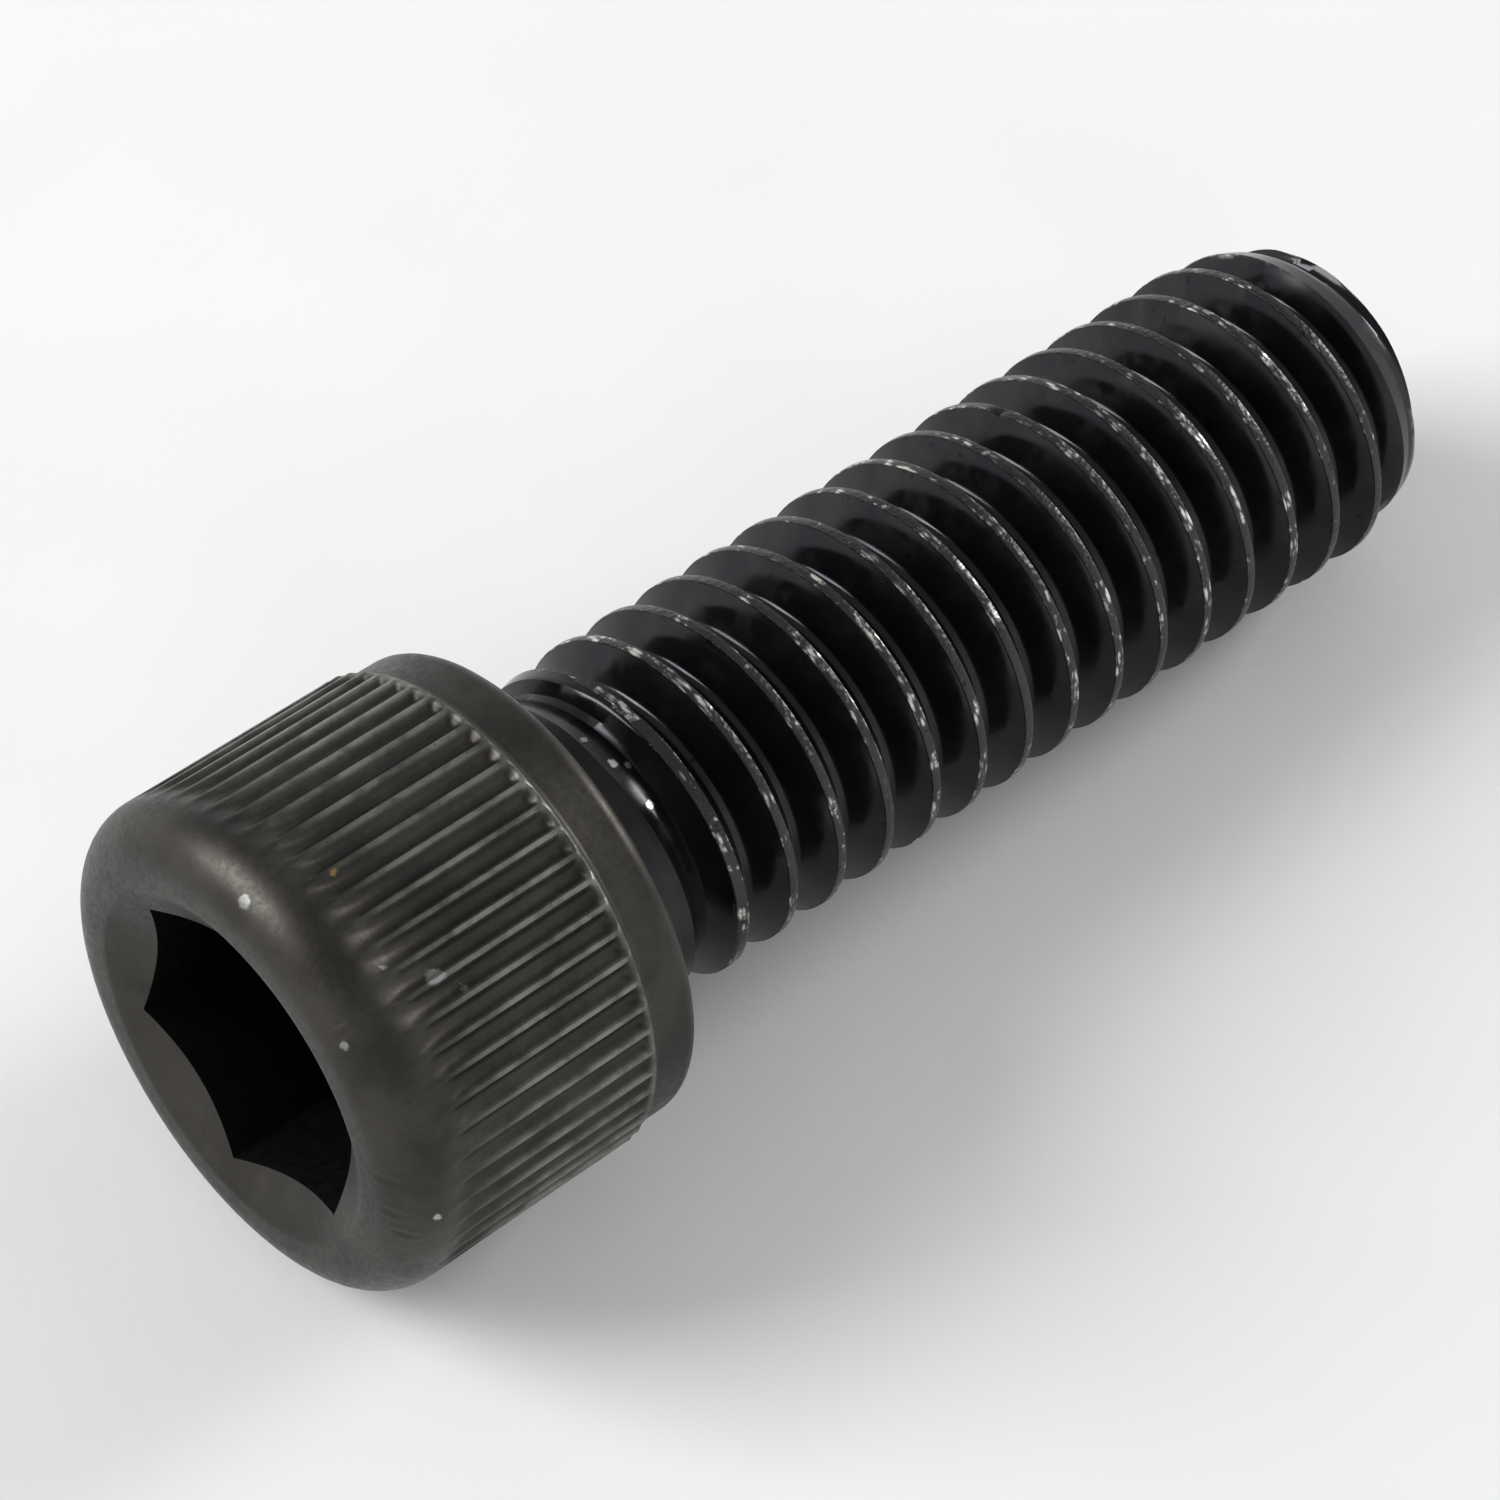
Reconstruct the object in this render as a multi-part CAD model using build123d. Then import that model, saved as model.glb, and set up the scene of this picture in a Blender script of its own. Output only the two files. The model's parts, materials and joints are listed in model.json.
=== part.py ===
"""Socket head cap screw, 5/16-18 UNC x 1 in, one forged and thread-rolled piece of black-oxide alloy steel.

The screw is built upright along its own axis: the bearing face under the head is at z = 0, the head
hangs below it and the threaded shank runs up to the point. It is then laid on a level surface, where it
rests on two ridges of its knurl and on the crest of its last full thread. Millimetres throughout.
"""
import os
from math import atan2, ceil, cos, degrees, floor, radians, sin, tan

from build123d import *

# Head
head_height = 7.94
knurl_radius = 5.81
front_edge_radius = 1.15
rear_edge_radius = 0.35
band_length = 1.22
band_step = 0.17

# Straight knurl around the head
knurl_count = 60
knurl_depth = 0.2
knurl_groove_radius = 0.24
knurl_start_gap = 0.75

# Hexagon socket
socket_across_flats = 6.38
socket_depth = 4.4
socket_turn = 6.2
socket_floor_angle = 120
countersink_margin = 0.52
countersink_angle = 120

# Neck between the bearing face and the thread
neck_drop = 0.325
neck_fillet_radius = 0.6
neck_length = 1.3
runout_length = 1.6

# Shank and thread
shank_length = 24.7
thread_radius = 3.925
thread_pitch = 25.4 / 18
crest_share = 0.15
root_share = 0.1443
flank_angle = 30
thread_turn = 0.7562
crest_allowance = 0.08
root_strips = 6

# Point of the shank
point_length = 1.8
point_drop = 0.425
point_rounding = 0.65

# Worked out from the sizes above
head_front = -head_height
band_radius = knurl_radius - band_step
knurl_rear = -band_length - band_step
knurl_pitch_angle = 360 / knurl_count
socket_corner_radius = socket_across_flats / 2 / cos(radians(30))
countersink_radius = socket_corner_radius + countersink_margin
neck_radius = thread_radius - neck_drop
point_radius = thread_radius - point_drop
crest_width = crest_share * thread_pitch
root_rounding = root_share * thread_pitch
valley_half_width = (thread_pitch - crest_width) / 2
sharp_depth = valley_half_width / tan(radians(flank_angle))
thread_depth = sharp_depth - root_rounding * (1 / sin(radians(flank_angle)) - 1)
root_radius = thread_radius - thread_depth


def turned(points):
    """A solid of revolution about the screw's axis, from a closed (radius, height) polygon."""
    return revolve(Plane.XZ * make_face(Polyline(*points, close=True)), Axis.Z)


def head_blank():
    """The head and neck as turned: rounded front edge, knurl barrel, plain band, fillet and neck."""
    front = (knurl_radius - front_edge_radius, head_front)
    barrel = (knurl_radius, head_front + front_edge_radius)
    band_edge = (band_radius, -rear_edge_radius)
    bearing_edge = (band_radius - rear_edge_radius, 0)
    fillet_foot = (neck_radius + neck_fillet_radius, 0)
    fillet_top = (neck_radius, neck_fillet_radius)
    outline = [
        Line((0, head_front), front),
        RadiusArc(front, barrel, -front_edge_radius),
        Polyline(barrel, (knurl_radius, knurl_rear), (band_radius, -band_length), band_edge),
        RadiusArc(band_edge, bearing_edge, -rear_edge_radius),
        Line(bearing_edge, fillet_foot),
        RadiusArc(fillet_foot, fillet_top, neck_fillet_radius),
        Polyline(fillet_top, (neck_radius, neck_length), (0, neck_length), (0, head_front)),
    ]
    return revolve(Plane.XZ * make_face(outline), Axis.Z)


def knurl_grooves():
    """Round-bottomed grooves between the ridges, with two ridges side by side at the underside."""
    start = head_front + knurl_start_gap
    centre = knurl_radius - knurl_depth + knurl_groove_radius
    rod = Cylinder(knurl_groove_radius, knurl_rear - start, align=(Align.CENTER, Align.CENTER, Align.MIN))
    return [
        Rot(0, 0, n * knurl_pitch_angle) * Pos(centre, 0, start) * rod
        for n in range(knurl_count)
    ]


def socket():
    """Hexagon recess with a conical floor and a countersunk mouth."""
    hexagon = Rot(0, 0, socket_turn) * RegularPolygon(socket_corner_radius, 6)
    walls = extrude(Pos(0, 0, head_front) * hexagon, socket_depth)
    floor_drop = socket_across_flats / 2 / tan(radians(socket_floor_angle / 2))
    floor_z = head_front + socket_depth
    point = turned([(0, floor_z), (socket_across_flats / 2, floor_z), (0, floor_z + floor_drop)])
    mouth_depth = countersink_radius / tan(radians(countersink_angle / 2))
    mouth = turned([(0, head_front), (countersink_radius, head_front), (0, head_front + mouth_depth)])
    return walls + point + mouth


def valley_radius(offset):
    """Radius of the thread's surface at an axial distance from the middle of a groove."""
    reach = abs(offset)
    tangent = root_rounding * cos(radians(flank_angle))
    if reach <= tangent:
        centre = root_radius + root_rounding
        return centre - (root_rounding**2 - reach**2) ** 0.5
    return thread_radius - (valley_half_width - reach) / tan(radians(flank_angle))


def crest_height(angle):
    """Height of the lowest crest above z = 0 at an angle in degrees round the axis."""
    return thread_pitch * ((thread_turn + angle / 360) % 1)


def thread_profile():
    """One pitch of the thread as (radius, height) points, from one crest's upper edge to the next one's.

    The crests stand proud by the allowance, which the shank's envelope then cuts back to the major radius.
    """
    crest = thread_radius + crest_allowance
    half_crest = crest_width / 2 - crest_allowance * tan(radians(flank_angle))
    tangent = root_rounding * cos(radians(flank_angle))
    root = []
    for n in range(root_strips + 1):
        offset = tangent * (2 * n / root_strips - 1)
        root.append((valley_radius(offset), thread_pitch / 2 + offset))
    edges = [(crest, half_crest), (crest, thread_pitch - half_crest), (crest, thread_pitch + half_crest)]
    return [edges[0], *root, *edges[1:]]


def one_turn(radius, height):
    """One turn of a right-hand helix from this height, or the stretch of the axis beside it at radius 0."""
    if radius == 0:
        return Edge.make_line((0, 0, height), (0, 0, height + thread_pitch))
    return Edge.make_helix(pitch=thread_pitch, height=thread_pitch, radius=radius, center=(0, 0, height))


def helical_strip(low, high):
    """The surface that the line between two (radius, height) points sweeps in one turn of the helix."""
    return Face.make_surface_from_curves(one_turn(*low), one_turn(*high))


def thread():
    """A solid bar with the thread round it, closed at each end by a helical floor and a flat step.

    It starts inside the neck and ends beyond the point, so the shank's envelope cuts both ends away.
    """
    profile = thread_profile()
    crest, first_edge = profile[0]
    start = neck_length - root_rounding - thread_pitch - first_edge
    turns = ceil((shank_length - start - first_edge) / thread_pitch)
    faces = []
    for n in range(turns):
        outline = [(radius, start + n * thread_pitch + height) for radius, height in profile]
        faces += [helical_strip(low, high) for low, high in zip(outline, outline[1:])]
    for base in (start, start + turns * thread_pitch):
        floor_height = base + first_edge
        step = [(0, floor_height)] + [(radius, base + height) for radius, height in profile]
        step.append((0, floor_height + thread_pitch))
        faces.append(helical_strip((0, floor_height), (crest, floor_height)))
        faces.append(Face(Wire.make_polygon([(radius, 0, height) for radius, height in step])))
    bar = Solid(Shell(faces))
    return Rot(0, 0, 360 * (start / thread_pitch - thread_turn)) * bar


def shank_envelope():
    """The space that the thread keeps to: run-out cone, major diameter, chamfer and rounded point."""
    slope = (thread_radius - neck_radius) / runout_length
    foot = (neck_radius - neck_length * slope, 0)
    full_height = (thread_radius, neck_length + runout_length)
    chamfer_start = (thread_radius, shank_length - point_length)
    chamfer_end = (point_radius, shank_length - point_rounding)
    flat = (point_radius - point_rounding, shank_length)
    outline = [
        Polyline((0, shank_length), (0, 0), foot, full_height, chamfer_start, chamfer_end),
        RadiusArc(chamfer_end, flat, -point_rounding),
        Line(flat, (0, shank_length)),
    ]
    return revolve(Plane.XZ * make_face(outline), Axis.Z)


def runout_core():
    """The cone that fills the first grooves, so that they deepen gradually from the neck."""
    core_end = root_radius - root_rounding
    slope = (neck_radius - root_radius) / runout_length
    core_length = (neck_radius - core_end) / slope
    return turned([
        (0, 0), (neck_radius, 0), (neck_radius, neck_length),
        (core_end, neck_length + core_length), (0, neck_length + core_length),
    ])


def upright_screw():
    """The whole screw along its own axis, as one solid."""
    shank = (thread() & shank_envelope()) + runout_core()
    head = head_blank() - knurl_grooves() - socket()
    return head + shank


def last_full_crest(angle):
    """Height, at this angle, of the upper edge of the last crest of full radius."""
    crest_start = crest_height(angle) - crest_width / 2
    chamfer_start = shank_length - point_length
    turns = floor((chamfer_start - crest_start) / thread_pitch)
    return min(crest_start + turns * thread_pitch + crest_width, chamfer_start)


def ridge_edge_radius():
    """Height above the axis of the two edges of the groove at the underside, on which the head rests."""
    groove_centre = knurl_radius - knurl_depth + knurl_groove_radius
    return (groove_centre**2 + knurl_radius**2 - knurl_groove_radius**2) / (2 * groove_centre)


def rest_tilt():
    """Angle in degrees between the screw's axis and the surface that it lies on."""
    drop = ridge_edge_radius() - thread_radius
    return degrees(atan2(drop, last_full_crest(180) - knurl_rear))


def laid_down(screw):
    """The screw on its side, point towards +X, lowest at z = 0 and centred over the origin."""
    lying = Rot(0, 90 + rest_tilt(), 0) * Rot(0, 0, 180) * screw
    box = lying.bounding_box()
    return Pos(-box.center().X, -box.center().Y, -box.min.Z) * lying


def main():
    os.makedirs("parts", exist_ok=True)
    export_step(laid_down(upright_screw()), "parts/cap_screw.step")


main()
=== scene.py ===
"""Looks of a black-oxide socket head cap screw that lies on pale paper.

The screw is one continuous mesh, built about its own axis in millimetres: z = 0 at the bearing face under
the head, negative inside the head, positive along the shank, and the angle measured from straight up.
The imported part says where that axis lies, and the mesh is written in metres in the part's own frame.
"""
import json
from math import atan2, ceil, cos, exp, hypot, pi, radians, sin, sqrt, tan

import bmesh
import bpy
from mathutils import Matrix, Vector, noise


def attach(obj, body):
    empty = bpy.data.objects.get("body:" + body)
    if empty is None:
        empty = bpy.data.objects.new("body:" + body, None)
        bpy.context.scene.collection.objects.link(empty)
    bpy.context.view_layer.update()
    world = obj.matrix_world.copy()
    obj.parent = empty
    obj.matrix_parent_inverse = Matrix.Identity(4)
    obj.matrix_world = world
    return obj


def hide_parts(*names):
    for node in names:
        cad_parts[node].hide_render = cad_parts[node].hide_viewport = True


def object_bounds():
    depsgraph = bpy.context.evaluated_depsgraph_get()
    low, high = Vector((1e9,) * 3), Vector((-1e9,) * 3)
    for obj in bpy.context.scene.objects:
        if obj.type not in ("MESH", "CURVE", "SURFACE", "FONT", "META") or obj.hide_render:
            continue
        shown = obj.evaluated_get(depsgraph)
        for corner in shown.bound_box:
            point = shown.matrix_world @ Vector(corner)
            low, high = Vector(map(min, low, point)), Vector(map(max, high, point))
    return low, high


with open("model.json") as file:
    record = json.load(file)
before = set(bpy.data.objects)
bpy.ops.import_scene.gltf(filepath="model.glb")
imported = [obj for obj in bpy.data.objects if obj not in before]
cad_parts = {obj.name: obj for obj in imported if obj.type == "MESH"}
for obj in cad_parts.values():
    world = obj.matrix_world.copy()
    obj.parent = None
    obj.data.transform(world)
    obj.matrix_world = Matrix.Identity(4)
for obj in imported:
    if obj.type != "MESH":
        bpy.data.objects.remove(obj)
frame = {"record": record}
cad_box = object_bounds()

MM = 0.001
CAD_NODE = "cap_screw"
BODY = "root"

# Head, in millimetres
HEAD_HEIGHT = 7.94
KNURL_RADIUS = 5.81
FRONT_EDGE_RADIUS = 1.15
REAR_EDGE_RADIUS = 0.35
BAND_RADIUS = 5.64
KNURL_END = -1.39
BAND_START = -1.22
BAND_LIP = 0.012
BAND_STEP = [(5.73, -1.31), (5.665, -1.25)]
KNURL_COUNT = 60
GROOVE_CENTRE = 5.85
GROOVE_RADIUS = 0.24
RIDGE_CROWN = 1.6
KNURL_FADE_START = 0.95
KNURL_FADE_END = 2.3
KNURL_FADE_WANDER = 0.18
KNURL_RUNOUT = 0.22
CROWN_ROUNDING = 0.03
# Radii at which the ridge tops' rubbed tone and painted highlight begin and are full
RIDGE_WEAR_AND_HIGHLIGHT_FLOOR = 0.11
RIDGE_WEAR_AND_HIGHLIGHT_TOP = 0.01

# Socket
ACROSS_FLATS = 6.38
SOCKET_DEPTH = 4.4
SOCKET_TURN = 6.2
MOUTH_MARGIN = 0.52
CONE_HALF_ANGLE = 60

# Neck, thread and point
NECK_RADIUS = 3.6
FILLET_RADIUS = 0.6
NECK_LENGTH = 1.3
RUNOUT_LENGTH = 1.6
SHANK_LENGTH = 24.7
THREAD_RADIUS = 3.925
PITCH = 25.4 / 18
CREST_WIDTH = 0.15 * PITCH
ROOT_ROUNDING = 0.1443 * PITCH
FLANK_ANGLE = 30
THREAD_TURN = 0.7562
CREST_ROUNDING = 0.018
# Where the crests' rubbed tone and painted glint begin, how far below the crest they reach, and how much of
# them fades towards the point
CREST_WEAR_AND_GLINT_START = 2.4
CREST_WEAR_AND_GLINT_DEPTH = (0.012, 0.05)
POINT_WEAR_AND_GLINT_LOSS = 0.85
POINT_LENGTH = 1.8
POINT_RADIUS = 3.5
POINT_ROUNDING = 0.65
SHANK_END_MARGIN = 0.02

# How finely the mesh is divided; the shares say how far along each surface its rings lie
AROUND_HEAD = 720
AROUND_SHANK = 120
SHARP_ANGLE = 32
FLOOR_SHARES = (0.35, 0.7, 0.985)
WALL_SHARES = (0, 0.2, 0.4, 0.6, 0.8, 1)
MOUTH_SHARES = (0.04, 0.35, 0.7, 0.97)
POINT_SHARES = (0.15, 0.3, 0.45, 0.6, 0.75, 0.9, 1)
END_SHARES = (0.7, 0.35)

# Camera, floor, lamps and room light, in degrees, metres and millimetres of lens
CAMERA_TURN = 42.22
CAMERA_DROP = 51.31
CAMERA_DISTANCE = 0.10965
CAMERA_TARGET = (-0.001888, -0.000116, 0.004915)
CAMERA_LENS = 119.84
FLOOR_HALF_WIDTH = 0.8
LAMP_TARGET = (0, 0, 0.004)
SKY = [(0.05, (0.98, 0.99, 1.0)), (0.7, (0.36, 0.36, 0.37))]

# Colours of the coating, of bare and stained metal, of painted highlights, glints and shade, and of the paper
HEAD_DARK = (0.037, 0.034, 0.030)
HEAD_PALE = (0.055, 0.051, 0.045)
HEAD_SPECKLE = (0.02, 0.018, 0.016)
# Ridge tops: rubbed metal, painted paler and greener as a highlight
RIDGE_WORN_AND_HIGHLIGHT = (0.200, 0.214, 0.190)
# Painted shade: the socket's colours, dark at the mouth and darker deep down
SOCKET_MOUTH_SHADE = (0.010, 0.010, 0.010)
SOCKET_DEEP_SHADE = (0.003, 0.003, 0.004)
THREAD_DARK = (0.024, 0.025, 0.028)
THREAD_PALE = (0.034, 0.033, 0.033)
THREAD_PIT = (0.004, 0.004, 0.004)
CREST_WORN = (0.075, 0.070, 0.064)
# Crest dashes: partly pale bare metal, partly painted glint
CREST_BARE_METAL_AND_GLINT = (0.70, 0.68, 0.64)
# Bright metal of the chipped spots, also the colour of the painted highlight on the head's front edge
CHIPPED_AND_HIGHLIGHT = (0.42, 0.43, 0.41)
STAINED = (0.26, 0.19, 0.07)
PAPER_DARK = (0.80, 0.80, 0.795)
PAPER_PALE = (0.83, 0.83, 0.825)

# Nicks in the thread's crests: (height, angle, reach, depth)
NICKS = [
    (8.95, -21.8, 0.24, 0.17), (7.15, -31.4, 0.2, 0.12), (11.66, 80.7, 0.2, 0.12), (10.98, 102.4, 0.18, 0.1),
    (3.79, 106.8, 0.2, 0.1), (14.99, -20.6, 0.22, 0.14), (16.43, 87.4, 0.16, 0.08), (13.1, 165.0, 0.2, 0.1),
    (18.2, -118.0, 0.22, 0.1),
]
# Small dents, with a raised lip, on the head: (height, angle, reach, depth)
DENTS = [
    (-5.5, 38.0, 0.22, 0.05), (-5.05, 42.5, 0.2, 0.05), (-7.72, 38.6, 0.16, 0.05), (-7.62, 36.2, 0.12, 0.04),
    (-7.9, 76.0, 0.2, 0.05), (-7.86, 86.5, 0.18, 0.05), (-7.72, 93.0, 0.16, 0.04), (-4.1, -150.0, 0.25, 0.05),
    (-2.2, 118.0, 0.18, 0.04), (-7.4, -96.0, 0.2, 0.04), (-0.6, 64.0, 0.15, 0.03), (-3.1, -61.0, 0.2, 0.04),
]
# Spots where the coating is chipped to bright metal, or stained: (height, angle, reach, amount). The spot at
# height -7.66 and angle 2.6, on the front edge, is a painted highlight.
CHIPS_AND_HIGHLIGHT = [
    (-5.5, 38.0, 0.26, 1.0), (-5.05, 42.5, 0.21, 0.9), (-7.66, 2.6, 0.18, 0.3), (-7.74, 40.6, 0.12, 0.5),
    (-7.2, 87.5, 0.12, 0.8), (-5.4, 24.0, 0.12, 0.35), (-6.35, 31.0, 0.1, 0.4), (-4.1, -150.0, 0.2, 0.7),
    (1.62, 14.0, 0.13, 0.9), (1.9, 17.0, 0.1, 0.8), (1.75, 33.0, 0.12, 0.7), (1.5, 1.0, 0.1, 0.6),
]
STAINS = [(-5.96, 9.9, 0.13, 1.0), (-2.9, 140.0, 0.15, 0.8)]

# Worked out from the sizes above
corner_radius = ACROSS_FLATS / 2 / cos(radians(30))
groove_floor = GROOVE_CENTRE - GROOVE_RADIUS
chamfer_start = SHANK_LENGTH - POINT_LENGTH
chamfer_end = SHANK_LENGTH - POINT_ROUNDING
mouth_radius = corner_radius + MOUTH_MARGIN
thread_root = THREAD_RADIUS - (
    (PITCH - CREST_WIDTH) / 2 / tan(radians(FLANK_ANGLE))
    - ROOT_ROUNDING * (1 / sin(radians(FLANK_ANGLE)) - 1)
)


def smooth_step(low, high, value):
    """0 below low, 1 above high, and an S-shaped rise between them."""
    t = min(max((value - low) / (high - low), 0), 1)
    return t * t * (3 - 2 * t)


def soft_min(a, b, width):
    """The lesser of two numbers, with the corner where they cross rounded over this width."""
    mix = max(width - abs(a - b), 0) / width
    return min(a, b) - mix * mix * width / 4


def lumps(x, y, z, size):
    """Smooth repeatable noise from -1 to 1 with features of this size."""
    return noise.noise(Vector((x, y, z)) / size)


def spot_distance(height, angle, radius, spot):
    """Distance along the surface, in millimetres, to a spot given by its height and angle."""
    turn = (angle - spot[1] + 180) % 360 - 180
    return hypot(height - spot[0], radius * radians(turn))


# ---------------------------------------------------------------- shape of the thread and point


def valley_radius(reach):
    """Radius of the thread's flank and root at an axial distance from the middle of a groove."""
    if reach <= ROOT_ROUNDING * cos(radians(FLANK_ANGLE)):
        return thread_root + ROOT_ROUNDING - sqrt(ROOT_ROUNDING**2 - reach**2)
    half_valley = (PITCH - CREST_WIDTH) / 2
    return THREAD_RADIUS - (half_valley - reach) / tan(radians(FLANK_ANGLE))


def shank_envelope(height):
    """Greatest radius of the shank at this height: run-out cone, major diameter, chamfer, rounded point."""
    if height < NECK_LENGTH + RUNOUT_LENGTH:
        rise = (THREAD_RADIUS - NECK_RADIUS) / RUNOUT_LENGTH
        return NECK_RADIUS + rise * (height - NECK_LENGTH)
    if height < chamfer_start:
        return THREAD_RADIUS
    if height < chamfer_end:
        share = (height - chamfer_start) / (chamfer_end - chamfer_start)
        return THREAD_RADIUS + share * (POINT_RADIUS - THREAD_RADIUS)
    rise = min(height - chamfer_end, POINT_ROUNDING)
    return POINT_RADIUS - POINT_ROUNDING + sqrt(POINT_ROUNDING**2 - rise**2)


def shank_radius(height, angle):
    """Radius of the threaded shank at this height and angle, with its run-out and nicks."""
    crest = PITCH * (THREAD_TURN + angle / 360)
    offset = (height - crest) % PITCH
    reach = PITCH / 2 - min(offset, PITCH - offset)
    core_slope = (NECK_RADIUS - thread_root) / RUNOUT_LENGTH
    core = NECK_RADIUS - core_slope * (height - NECK_LENGTH)
    radius = soft_min(valley_radius(reach), shank_envelope(height), CREST_ROUNDING)
    radius = max(radius, min(core, shank_envelope(height)))
    for nick in NICKS:
        apart = spot_distance(height, angle, THREAD_RADIUS, nick)
        if apart < nick[2]:
            radius -= nick[3] * (1 - apart / nick[2]) * smooth_step(3.3, 3.9, radius)
    return radius


# ---------------------------------------------------------------- shape of the head


def outer_radius(height, angle):
    """Radius of the screw's outside at this height and angle, without the knurl."""
    if height > NECK_LENGTH:
        return shank_radius(height, angle)
    below = max(FRONT_EDGE_RADIUS - HEAD_HEIGHT - height, 0)
    return KNURL_RADIUS - FRONT_EDGE_RADIUS + sqrt(FRONT_EDGE_RADIUS**2 - below**2)


def hexagon_radius(angle):
    """Distance from the axis to the socket's wall at this angle."""
    within = (angle - SOCKET_TURN + 30) % 60 - 30
    return ACROSS_FLATS / 2 / cos(radians(30 - abs(within)))


def groove_depth(radius, angle, strength):
    """How far the knurl cuts in below this radius, from 0 at strength 0 to the full groove at strength 1."""
    pitch = 360 / KNURL_COUNT
    across = abs((angle + pitch / 2) % pitch - pitch / 2)
    side = radians(across) * KNURL_RADIUS
    crown = (radians(pitch / 2) * KNURL_RADIUS - side) ** 2 * RIDGE_CROWN
    floor = KNURL_RADIUS if side > GROOVE_RADIUS else GROOVE_CENTRE - sqrt(GROOVE_RADIUS**2 - side**2)
    knurl = soft_min(floor, KNURL_RADIUS - crown, CROWN_ROUNDING)
    return strength * min(KNURL_RADIUS - knurl, max(radius - groove_floor, 0) + 0.02)


def head_surface(radius, height, angle):
    """The turned head's radius at this height and angle, with the knurl and the dents taken off."""
    from_front = height + HEAD_HEIGHT
    wander = KNURL_FADE_WANDER * lumps(0, angle / 7, 0, 1)
    fade = smooth_step(KNURL_FADE_START, KNURL_FADE_END, from_front + wander)
    fade *= 1 - smooth_step(KNURL_END - KNURL_RUNOUT, KNURL_END + 0.06, height)
    if fade > 0:
        radius -= groove_depth(radius, angle, fade)
    for dent in DENTS:
        apart = spot_distance(height, angle, KNURL_RADIUS, dent) / dent[2]
        if apart < 2:
            radius -= dent[3] * (exp(-3 * apart * apart) - 0.35 * exp(-5 * (apart - 1.1) ** 2))
    return radius


def arc_points(centre_radius, centre_height, size, start, end, steps):
    """Points on an arc in the (radius, height) plane, at angles in degrees from the radial direction."""
    turns = [radians(start + (end - start) * n / steps) for n in range(steps + 1)]
    return [(centre_radius + size * cos(a), centre_height + size * sin(a)) for a in turns]


def spaced(start, end, steps):
    """Evenly spaced numbers from start to end, without the start."""
    return [start + (end - start) * (n + 1) / steps for n in range(steps)]


def outside_outline():
    """The head's turned outline, from the socket's mouth over the front edge and band to the neck."""
    front = -HEAD_HEIGHT
    edge_foot = KNURL_RADIUS - FRONT_EDGE_RADIUS
    points = [(r, front) for r in spaced(mouth_radius + 0.05, edge_foot, 3)[:-1]]
    points += arc_points(edge_foot, front + FRONT_EDGE_RADIUS, FRONT_EDGE_RADIUS, -90, 0, 12)
    barrel_start = front + FRONT_EDGE_RADIUS
    points += [(KNURL_RADIUS, h) for h in spaced(barrel_start, barrel_start + 0.75, 5)]
    points += [(KNURL_RADIUS, h) for h in spaced(barrel_start + 0.75, KNURL_END - 0.25, 10)]
    points += [(KNURL_RADIUS, h) for h in spaced(KNURL_END - 0.25, KNURL_END - 0.04, 4)]
    points += [(KNURL_RADIUS - 0.02, KNURL_END), *BAND_STEP]
    points += [(BAND_RADIUS + BAND_LIP, BAND_START), (BAND_RADIUS + BAND_LIP, BAND_START + 0.06)]
    points += [(BAND_RADIUS, h) for h in spaced(BAND_START + 0.06, -REAR_EDGE_RADIUS - 0.03, 3)]
    edge = BAND_RADIUS - REAR_EDGE_RADIUS
    points += arc_points(edge, -REAR_EDGE_RADIUS, REAR_EDGE_RADIUS, 0, 90, 6)
    fillet_foot = NECK_RADIUS + FILLET_RADIUS
    points += [(r, 0) for r in spaced(edge, fillet_foot, 3)[:-1]]
    points += arc_points(fillet_foot, FILLET_RADIUS, FILLET_RADIUS, 270, 180, 8)
    return points + [(NECK_RADIUS, h) for h in spaced(FILLET_RADIUS, NECK_LENGTH, 4)]


# ---------------------------------------------------------------- the mesh


class ScrewAxis:
    """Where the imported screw's axis lies in the part's frame."""

    def __init__(self):
        drive = next(m for m in frame["record"]["mounts"] if m["name"] == "hex_drive")
        self.along = -Vector(drive["axis"]).normalized()
        self.side = Vector((0, -1, 0))
        self.up = self.side.cross(self.along).normalized()
        self.origin = Vector(drive["pos_m"]) + self.along * HEAD_HEIGHT * MM

    def point(self, radius, height, angle):
        """A place about the axis, in metres in the part's frame."""
        turn = radians(angle)
        outward = self.up * cos(turn) + self.side * sin(turn)
        return self.origin + MM * (self.along * height + outward * radius)


axis = ScrewAxis()


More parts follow.
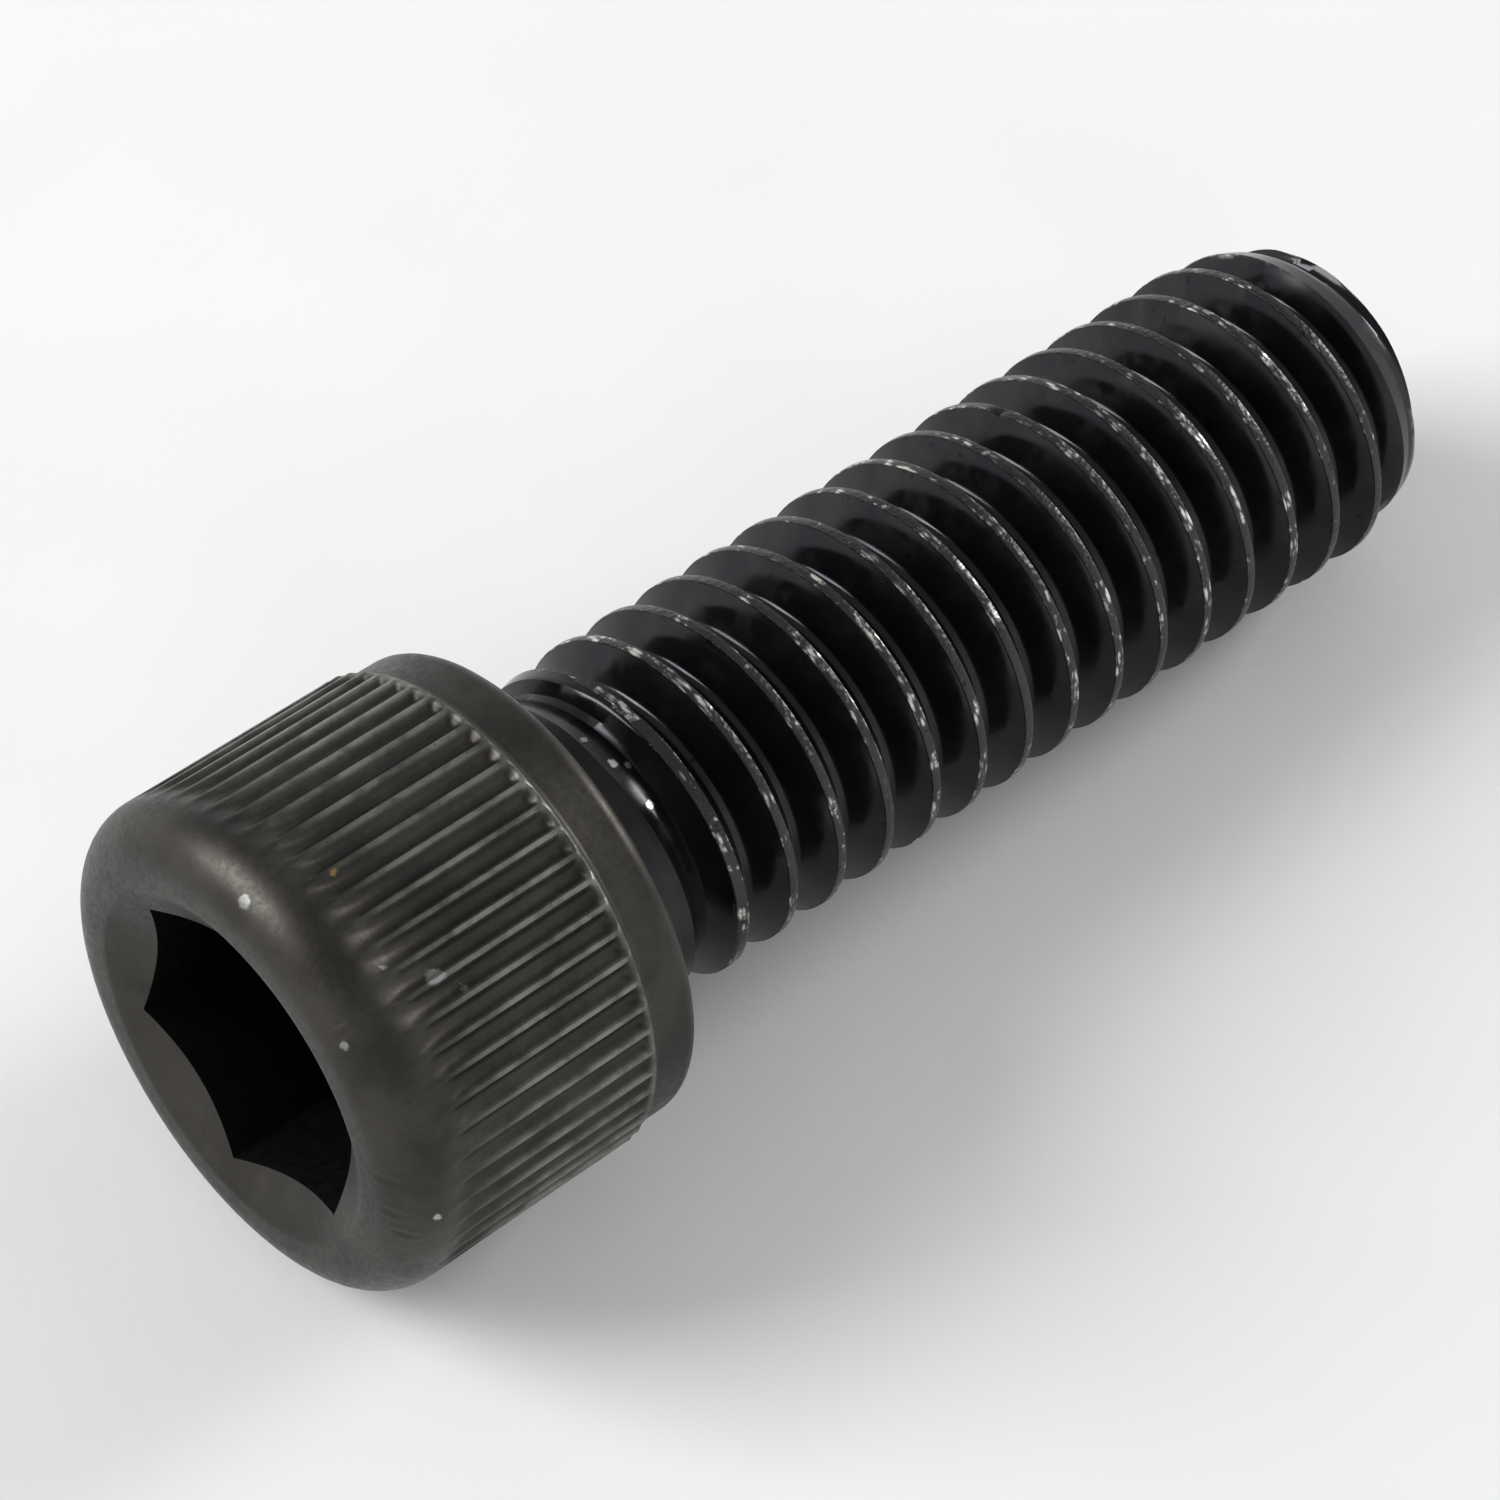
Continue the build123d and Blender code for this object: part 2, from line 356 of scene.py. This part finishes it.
class ScrewMesh:
    """Collects the screw's vertices, faces and painted values, and turns them into one Blender object."""

    def __init__(self):
        self.vertices = []
        self.faces = []
        self.zones = []
        self.values = {"crest": [], "ridge": [], "hollow": []}

    def vertex(self, radius, height, angle, **values):
        """Adds a vertex at this place about the axis and returns its number."""
        self.vertices.append(axis.point(radius, height, angle))
        for name, held in self.values.items():
            held.append(values.get(name, 0))
        return len(self.vertices) - 1

    def face(self, corners, zone):
        """Adds a face in a zone, leaving out corners that fall together."""
        kept = [c for n, c in enumerate(corners) if c != corners[n - 1]]
        if len(set(kept)) == len(kept) and len(kept) > 2:
            self.faces.append(kept)
            self.zones.append(zone)

    def band(self, lower, upper, zone):
        """Joins two rings of vertices; the upper one may have several vertices to each of the lower one's."""
        ratio = len(upper) // len(lower)
        for n in range(len(lower)):
            nxt = (n + 1) % len(lower)
            top = [upper[(n * ratio + m) % len(upper)] for m in range(ratio + 1)]
            self.face([lower[n], lower[nxt], *reversed(top)], zone)

    def cap(self, ring, centre, zone):
        """Closes a ring with triangles to a centre vertex."""
        for n, corner in enumerate(ring):
            self.face([corner, ring[(n + 1) % len(ring)], centre], zone)

    def to_object(self, name, materials):
        """The finished object, with the zones' materials, painted values and crisp edges."""
        mesh = bpy.data.meshes.new(name)
        mesh.from_pydata([tuple(v) for v in self.vertices], [], self.faces)
        for material in materials:
            mesh.materials.append(material)
        mesh.polygons.foreach_set("material_index", self.zones)
        for label, held in self.values.items():
            mesh.attributes.new(label, "FLOAT", "POINT").data.foreach_set("value", held)
        mesh.validate()
        mesh.shade_smooth()
        mesh.set_sharp_from_angle(angle=radians(SHARP_ANGLE))
        obj = bpy.data.objects.new(name, mesh)
        bpy.context.collection.objects.link(obj)
        flip_outward(mesh)
        normals = obj.modifiers.new("face_weighted_normals", "WEIGHTED_NORMAL")
        normals.keep_sharp = True
        return obj


def flip_outward(mesh):
    """Turns every face outward."""
    work = bmesh.new()
    work.from_mesh(mesh)
    bmesh.ops.recalc_face_normals(work, faces=work.faces)
    work.to_mesh(mesh)
    work.free()


HEAD, SOCKET, THREAD = range(3)


def ring_angles(shift):
    """The angles of the head's rings, in degrees; a shift lines the socket's corners up with them."""
    return [360 * n / AROUND_HEAD + shift for n in range(AROUND_HEAD)]


def add_socket(mesh):
    """The socket's conical floor, walls and countersunk mouth; returns the ring at the mouth's edge."""
    step = 360 / AROUND_HEAD
    angles = ring_angles(SOCKET_TURN % step)
    floor = SOCKET_DEPTH - HEAD_HEIGHT
    apothem = ACROSS_FLATS / 2
    cone = tan(radians(CONE_HALF_ANGLE))
    # Each socket vertex carries how much painted shade it gets: 1 on the floor, less up the walls
    centre = mesh.vertex(0, floor + apothem / cone, 0, hollow=1)
    rings = []
    for share in FLOOR_SHARES:
        rings.append([
            mesh.vertex(apothem * share, floor + apothem * (1 - share) / cone, a, hollow=1) for a in angles
        ])
    for share in WALL_SHARES:
        ring = []
        for a in angles:
            radius = hexagon_radius(a)
            top = -HEAD_HEIGHT + (mouth_radius - radius) / cone
            ring.append(mesh.vertex(radius, floor + (top - floor) * share, a, hollow=1 - 0.6 * share))
        rings.append(ring)
    for share in MOUTH_SHARES:
        ring = []
        for a in angles:
            radius = hexagon_radius(a) + (mouth_radius - hexagon_radius(a)) * share
            ring.append(mesh.vertex(radius, -HEAD_HEIGHT + (mouth_radius - radius) / cone, a))
        rings.append(ring)
    mesh.cap(rings[0], centre, SOCKET)
    wall_top = len(FLOOR_SHARES) + len(WALL_SHARES) - 1
    for n, (lower, upper) in enumerate(zip(rings, rings[1:])):
        mesh.band(lower, upper, SOCKET if n < wall_top else HEAD)
    return rings[-1]


def ridge_wear_and_highlight(radius, height):
    """How much rubbed tone and painted highlight the knurl gets here, from 0 in the grooves and at the front
    edge to 1 on the ridges.
    """
    if height >= KNURL_END + 0.02:
        return 0
    fade = smooth_step(KNURL_FADE_START + 0.3, KNURL_FADE_END + 1.5, height + HEAD_HEIGHT)
    return fade * smooth_step(KNURL_RADIUS - RIDGE_WEAR_AND_HIGHLIGHT_FLOOR, KNURL_RADIUS - RIDGE_WEAR_AND_HIGHLIGHT_TOP, radius)


def add_head(mesh, ring):
    """The head's outside from the socket's mouth to the neck; returns the ring at the neck's end."""
    step = 360 / AROUND_HEAD
    for n, (radius, height) in enumerate([(mouth_radius + 0.05, -HEAD_HEIGHT)] + outside_outline()):
        shift = (SOCKET_TURN % step) * max(1 - n / 3, 0)
        nxt = []
        for angle in ring_angles(shift):
            on_barrel = -HEAD_HEIGHT + 0.01 < height < -0.05
            r = head_surface(radius, height, angle) if on_barrel else radius
            nxt.append(mesh.vertex(r, height, angle, ridge=ridge_wear_and_highlight(r, height)))
        mesh.band(ring, nxt, HEAD if height < FILLET_RADIUS * 0.2 else THREAD)
        ring = nxt
    return ring


def thread_offsets():
    """Axial distances from a crest's middle at which the thread is sampled, over one pitch."""
    half_crest = CREST_WIDTH / 2
    tangent = PITCH / 2 - ROOT_ROUNDING * cos(radians(FLANK_ANGLE))
    rising = [0, half_crest * 0.72, half_crest + 0.004, half_crest + 0.032, 0.2, 0.36, tangent]
    rising += [tangent + (PITCH / 2 - tangent) * share for share in (0.35, 0.7)]
    return rising + [PITCH / 2] + [PITCH - offset for offset in reversed(rising[1:])]


def floor_turns(height):
    """Whole number of pitches that brings a crest at angle 0 to just below this height."""
    return -ceil(THREAD_TURN - height / PITCH)


def shank_vertex(mesh, height, angle):
    """Adds a vertex of the shank, painted with how much its crest is rubbed, which also lays the painted
    glint.
    """
    radius = shank_radius(height, angle)
    crest_wear_and_glint = 0
    if height > CREST_WEAR_AND_GLINT_START:
        crest_wear_and_glint = 1 - smooth_step(*CREST_WEAR_AND_GLINT_DEPTH, shank_envelope(height) - radius)
        crest_wear_and_glint *= 1 - POINT_WEAR_AND_GLINT_LOSS * smooth_step(chamfer_start + 0.1, SHANK_LENGTH - 0.9, height)
    return mesh.vertex(radius, height, angle, crest=crest_wear_and_glint)


def add_shank(mesh, neck_ring):
    """The threaded shank, sampled along the helix so that its crests stay crisp, and its rounded point."""
    bottom = NECK_LENGTH + SHANK_END_MARGIN
    top = SHANK_LENGTH - 0.62 * POINT_ROUNDING
    offsets = thread_offsets()
    start = NECK_LENGTH - 2 * PITCH
    first = PITCH * (THREAD_TURN + floor_turns(start))
    steps = ceil((top - first) / PITCH + 1) * AROUND_SHANK
    ends = {}
    numbers = {}

    def place(step, column):
        """The vertex at a step along the helix and a column across the pitch."""
        if column == len(offsets):
            step, column = step + AROUND_SHANK, 0
        if (step, column) in numbers:
            return numbers[step, column]
        angle = 360 * (step % AROUND_SHANK) / AROUND_SHANK
        height = first + PITCH * step / AROUND_SHANK + offsets[column]
        end = "low" if height <= bottom else "high" if height >= top - SHANK_END_MARGIN else None
        if end is None:
            number = shank_vertex(mesh, height, angle)
        else:
            key = (end, step % AROUND_SHANK)
            if key not in ends:
                ends[key] = shank_vertex(mesh, bottom if end == "low" else top, angle)
            number = ends[key]
        numbers[step, column] = number
        return number

    for step in range(steps):
        for column in range(len(offsets)):
            mesh.face([
                place(step, column), place(step + 1, column),
                place(step + 1, column + 1), place(step, column + 1),
            ], THREAD)
    low = [ends["low", n] for n in range(AROUND_SHANK)]
    mesh.band(low, neck_ring, THREAD)
    ring = [ends["high", n] for n in range(AROUND_SHANK)]
    start_turn = atan2(top - chamfer_end, shank_envelope(top) - POINT_RADIUS + POINT_ROUNDING)
    for share in POINT_SHARES:
        turn = start_turn + (pi / 2 - start_turn) * share
        height = chamfer_end + POINT_ROUNDING * sin(turn)
        nxt = [shank_vertex(mesh, height, 360 * n / AROUND_SHANK) for n in range(AROUND_SHANK)]
        mesh.band(ring, nxt, THREAD)
        ring = nxt
    for share in END_SHARES:
        radius = (POINT_RADIUS - POINT_ROUNDING) * share
        nxt = [mesh.vertex(radius, SHANK_LENGTH, 360 * n / AROUND_SHANK) for n in range(AROUND_SHANK)]
        mesh.band(ring, nxt, THREAD)
        ring = nxt
    mesh.cap(ring, mesh.vertex(0, SHANK_LENGTH, 0), THREAD)


# ---------------------------------------------------------------- materials


class Nodes:
    """A short way to write a material's node graph."""

    def __init__(self, name):
        self.material = bpy.data.materials.new(name)
        self.material.use_nodes = True
        self.tree = self.material.node_tree
        self.shader = self.tree.nodes["Principled BSDF"]
        self.place = self.add("ShaderNodeTexCoord").outputs["Object"]

    def add(self, kind, **settings):
        node = self.tree.nodes.new(kind)
        for key, value in settings.items():
            setattr(node, key, value)
        return node

    def link(self, source, target):
        self.tree.links.new(source, target)

    def put(self, value, socket):
        """Links an output to a socket, or sets a plain number on it."""
        if isinstance(value, bpy.types.NodeSocket):
            self.link(value, socket)
        else:
            socket.default_value = value

    def noise(self, size_mm, detail=3.0, roughness=0.55):
        node = self.add("ShaderNodeTexNoise")
        node.inputs["Scale"].default_value = 1 / (size_mm * MM)
        node.inputs["Detail"].default_value = detail
        node.inputs["Roughness"].default_value = roughness
        self.link(self.place, node.inputs["Vector"])
        return node.outputs["Fac"]

    def cells(self, size_mm, narrowing=1.0):
        """Distance to the middle of scattered cells, which are this much narrower along the screw."""
        squeeze = self.add("ShaderNodeMapping")
        squeeze.inputs["Scale"].default_value = (narrowing, 1, 1)
        self.link(self.place, squeeze.inputs["Vector"])
        node = self.add("ShaderNodeTexVoronoi")
        node.inputs["Scale"].default_value = 1 / (size_mm * MM)
        self.link(squeeze.outputs["Vector"], node.inputs["Vector"])
        return node.outputs["Distance"]

    def spots(self, spots):
        """How much of any of these spots lies here, from 0 to 1, with ragged edges."""
        ragged = self.math("MULTIPLY", self.math("SUBTRACT", self.noise(0.1), 0.5), 0.16 * MM)
        total = 0.0
        for height, angle, reach, amount in spots:
            node = self.add("ShaderNodeVectorMath", operation="DISTANCE")
            self.link(self.place, node.inputs[0])
            node.inputs[1].default_value = axis.point(outer_radius(height, angle), height, angle)
            apart = self.math("ADD", node.outputs["Value"], ragged)
            cover = self.ramp(apart, 0.55 * reach * MM, reach * MM, amount, 0.0)
            total = self.math("MAXIMUM", cover, total)
        return total

    def ramp(self, value, low, high, to_low=0.0, to_high=1.0):
        node = self.add("ShaderNodeMapRange", clamp=True, interpolation_type="SMOOTHSTEP")
        self.put(value, node.inputs["Value"])
        for key, number in (("From Min", low), ("From Max", high), ("To Min", to_low), ("To Max", to_high)):
            node.inputs[key].default_value = number
        return node.outputs["Result"]

    def math(self, operation, a, b=0.0):
        node = self.add("ShaderNodeMath", operation=operation)
        self.put(a, node.inputs[0])
        self.put(b, node.inputs[1])
        return node.outputs[0]

    def mix_colour(self, factor, a, b):
        node = self.add("ShaderNodeMix", data_type="RGBA")
        self.put(factor, node.inputs["Factor"])
        self.put(a if isinstance(a, bpy.types.NodeSocket) else (*a, 1), node.inputs["A"])
        self.put(b if isinstance(b, bpy.types.NodeSocket) else (*b, 1), node.inputs["B"])
        return node.outputs["Result"]

    def mix(self, factor, a, b):
        node = self.add("ShaderNodeMix", data_type="FLOAT")
        self.put(factor, node.inputs["Factor"])
        self.put(a, node.inputs["A"])
        self.put(b, node.inputs["B"])
        return node.outputs["Result"]

    def painted(self, label):
        return self.add("ShaderNodeAttribute", attribute_name=label).outputs["Fac"]

    def bump(self, height, strength, depth_mm, normal=None):
        node = self.add("ShaderNodeBump")
        node.inputs["Strength"].default_value = strength
        node.inputs["Distance"].default_value = depth_mm * MM
        self.link(height, node.inputs["Height"])
        if normal is not None:
            self.link(normal, node.inputs["Normal"])
        return node.outputs["Normal"]

    def finish(self, **values):
        for name, value in values.items():
            self.put(value, self.shader.inputs[name.replace("_", " ")])
        return self.material


def chips_highlight_and_stains(n, colour, roughness):
    """Lays bright chipped spots, one painted highlight on the head's front edge, and yellowish specks over a
    coating's colour and roughness.
    """
    # chipped spots, and one painted highlight on the head's front edge
    chips_and_highlight = n.spots(CHIPS_AND_HIGHLIGHT)
    colour = n.mix_colour(chips_and_highlight, colour, CHIPPED_AND_HIGHLIGHT)
    colour = n.mix_colour(n.spots(STAINS), colour, STAINED)
    return colour, n.mix(chips_and_highlight, roughness, 0.3)


def head_oxide():
    """Satin dark brown-grey oxide, paler and slightly green on the tops of the knurl's ridges, partly rubbed
    metal and partly a painted highlight.
    """
    n = Nodes("head_black_oxide")
    broad = n.ramp(n.noise(1.7), 0.35, 0.65)
    fine = n.noise(0.16, 4.0, 0.65)
    colour = n.mix_colour(broad, HEAD_DARK, HEAD_PALE)
    # rubbed ridge tops with a painted highlight, paler and greener
    worn_and_highlight = n.math("MULTIPLY", n.painted("ridge"), n.ramp(n.noise(0.8), 0.30, 0.62, 0.25, 1.0))
    colour = n.mix_colour(worn_and_highlight, colour, RIDGE_WORN_AND_HIGHLIGHT)
    speckle = n.ramp(n.noise(0.09, 2.0), 0.62, 0.72)
    colour = n.mix_colour(n.math("MULTIPLY", speckle, 0.35), colour, HEAD_SPECKLE)
    roughness = n.mix(n.ramp(fine, 0.3, 0.7), 0.36, 0.5)
    colour, roughness = chips_highlight_and_stains(n, colour, roughness)
    grain = n.bump(fine, 0.35, 0.012)
    normal = n.bump(n.noise(0.6, 2.0), 0.25, 0.02, grain)
    return n.finish(Base_Color=colour, Metallic=0.85, Roughness=roughness, Normal=normal)


def socket_oxide_in_shade():
    """The oxide down in the socket, with painted shade that makes it darker than the head's and darkest deep
    down.
    """
    n = Nodes("socket_black_oxide_in_shade")
    # painted shade, darkest deep in the socket
    shade = n.ramp(n.painted("hollow"), 0.3, 1.0)
    colour = n.mix_colour(shade, SOCKET_MOUTH_SHADE, SOCKET_DEEP_SHADE)
    roughness = n.ramp(n.noise(0.25), 0.3, 0.7, 0.5, 0.65)
    normal = n.bump(n.noise(0.12), 0.3, 0.01)
    return n.finish(Base_Color=colour, Metallic=0.9, Roughness=roughness, Normal=normal)


def thread_oxide():
    """Glossy oiled oxide on the rolled flanks, with rubbed crests that carry broken dashes, partly pale bare
    metal and partly painted glint.
    """
    n = Nodes("thread_black_oxide")
    broad = n.ramp(n.noise(1.3), 0.35, 0.65)
    colour = n.mix_colour(broad, THREAD_DARK, THREAD_PALE)
    crest = n.ramp(n.painted("crest"), 0.4, 0.9)
    broken = n.ramp(n.noise(0.9, 4.0, 0.7), 0.50, 0.60)
    facets = n.ramp(n.cells(0.42, 4.0), 0.2, 0.6, 1.0, 0.0)
    # painted glint: broken dashes along the crests, partly pale bare metal
    bare_metal_and_glint = n.math("MULTIPLY", crest, n.math("MULTIPLY", broken, facets))
    colour = n.mix_colour(n.math("MULTIPLY", crest, 0.5), colour, CREST_WORN)
    colour = n.mix_colour(bare_metal_and_glint, colour, CREST_BARE_METAL_AND_GLINT)
    pits = n.ramp(n.noise(0.22, 1.0), 0.70, 0.76)
    colour = n.mix_colour(n.math("MULTIPLY", pits, 0.5), colour, THREAD_PIT)
    wet = n.ramp(n.noise(0.9, 2.0), 0.4, 0.6, 0.13, 0.22)
    roughness = n.mix(crest, wet, 0.34)
    colour, roughness = chips_highlight_and_stains(n, colour, roughness)
    ripple = n.bump(n.noise(0.35, 2.0), 0.10, 0.012)
    chatter = n.bump(n.math("MULTIPLY", n.cells(0.12), crest), 0.7, 0.02, ripple)
    return n.finish(Base_Color=colour, Metallic=0.9, Roughness=roughness, Normal=chatter)


def paper():
    """Matt white paper with a faint fibre grain and slow undulations."""
    n = Nodes("white_paper")
    tone = n.mix_colour(n.ramp(n.noise(14.0, 2.0), 0.3, 0.7), PAPER_DARK, PAPER_PALE)
    fibres = n.bump(n.noise(0.8, 5.0, 0.65), 0.25, 0.05)
    waves = n.bump(n.noise(22.0, 2.0), 0.3, 0.6, fibres)
    return n.finish(Base_Color=tone, Roughness=0.95, Normal=waves)


# ---------------------------------------------------------------- the set


def add_floor():
    """The sheet of paper that the screw lies on."""
    half = FLOOR_HALF_WIDTH
    mesh = bpy.data.meshes.new("paper_floor")
    corners = [(-half, -half, 0), (half, -half, 0), (half, half, 0), (-half, half, 0)]
    mesh.from_pydata(corners, [], [(0, 1, 2, 3)])
    mesh.materials.append(paper())
    floor = bpy.data.objects.new("paper_floor", mesh)
    bpy.context.collection.objects.link(floor)


def aim(obj, target):
    """Turns an object's -Z axis to a point, keeping its X axis level."""
    obj.rotation_euler = (Vector(target) - obj.location).to_track_quat("-Z", "Y").to_euler()


def add_lamp(name, place, size, power):
    """A square soft box that faces the screw."""
    light = bpy.data.lights.new(name, "AREA")
    light.shape = "RECTANGLE"
    light.size = light.size_y = size
    light.energy = power
    lamp = bpy.data.objects.new(name, light)
    lamp.location = place
    bpy.context.collection.objects.link(lamp)
    aim(lamp, LAMP_TARGET)


def add_world():
    """Soft room light, pale near the horizon and dimmer overhead."""
    world = bpy.data.worlds.new("soft_room")
    world.use_nodes = True
    tree = world.node_tree
    place = tree.nodes.new("ShaderNodeTexCoord")
    split = tree.nodes.new("ShaderNodeSeparateXYZ")
    tree.links.new(place.outputs["Generated"], split.inputs[0])
    fade = tree.nodes.new("ShaderNodeValToRGB")
    for element, (position, colour) in zip(fade.color_ramp.elements, SKY):
        element.position = position
        element.color = (*colour, 1)
    tree.links.new(split.outputs["Z"], fade.inputs[0])
    tree.links.new(fade.outputs[0], tree.nodes["Background"].inputs["Color"])
    bpy.context.scene.world = world


def add_camera():
    """The camera, up over the head's side of the screw."""
    turn, drop = radians(CAMERA_TURN), radians(CAMERA_DROP)
    centre = Vector(((cad_box[0][0] + cad_box[1][0]) / 2, (cad_box[0][1] + cad_box[1][1]) / 2, 0))
    target = centre + Vector(CAMERA_TARGET)
    look = Vector((sin(turn) * cos(drop), cos(turn) * cos(drop), -sin(drop)))
    data = bpy.data.cameras.new("camera")
    data.lens = CAMERA_LENS
    data.sensor_width = 36
    data.clip_start = 0.001
    camera = bpy.data.objects.new("camera", data)
    camera.location = target - look * CAMERA_DISTANCE
    camera.rotation_euler = look.to_track_quat("-Z", "Y").to_euler()
    bpy.context.collection.objects.link(camera)
    bpy.context.scene.camera = camera


def add_screw():
    """The screw, as one piece that stands for the CAD node."""
    mesh = ScrewMesh()
    mouth = add_socket(mesh)
    neck = add_head(mesh, mouth)
    add_shank(mesh, neck)
    screw = mesh.to_object("cap_screw_finished", [head_oxide(), socket_oxide_in_shade(), thread_oxide()])
    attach(screw, BODY)
    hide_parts(CAD_NODE)


add_screw()
add_floor()
add_world()
add_lamp("key_left_back", (-0.36, 0.30, 0.36), 0.32, 3.0)
add_lamp("rim_right", (0.46, -0.11, 0.21), 0.16, 1.3)
add_camera()
bpy.context.scene.view_settings.view_transform = "Standard"
